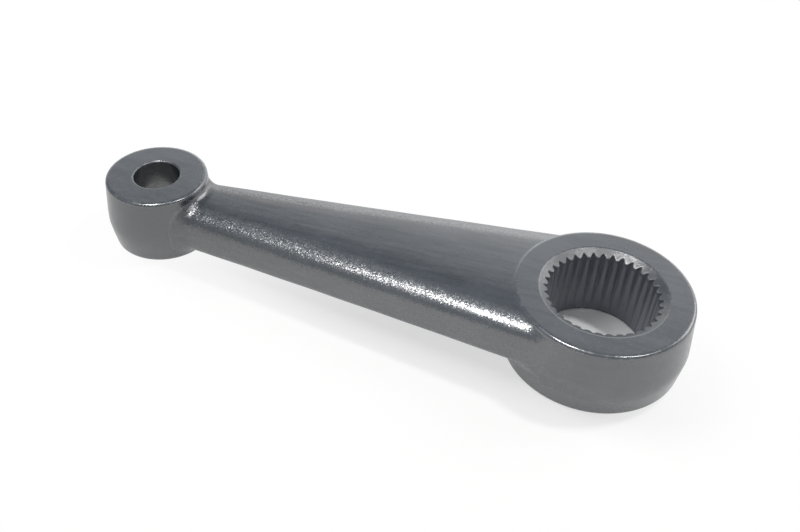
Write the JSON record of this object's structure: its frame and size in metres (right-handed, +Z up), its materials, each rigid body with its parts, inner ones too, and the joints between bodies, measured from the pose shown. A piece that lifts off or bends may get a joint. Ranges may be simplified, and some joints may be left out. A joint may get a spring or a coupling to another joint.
{
  "type": "pitman arm",
  "caption": "Forged steering arm: a wide boss with a serrated through bore, a crowned tapering shank and a narrow eye with a tapered stud hole.",
  "frame": {"origin": "on the axis of the serrated bore, at the boss's lower face, which is the plane that both bosses rest on", "axes": "+Z up along the bore, -X from the bore towards the stud eye, Y across the arm"},
  "size_m": [0.1836, 0.0538, 0.0224],
  "materials": {
    "coated_steel": "semi-gloss black coating over shot-blasted forged steel"
  },
  "bodies": {
    "root": {"pitman_arm": "coated_steel"}
  },
  "joints": []
}
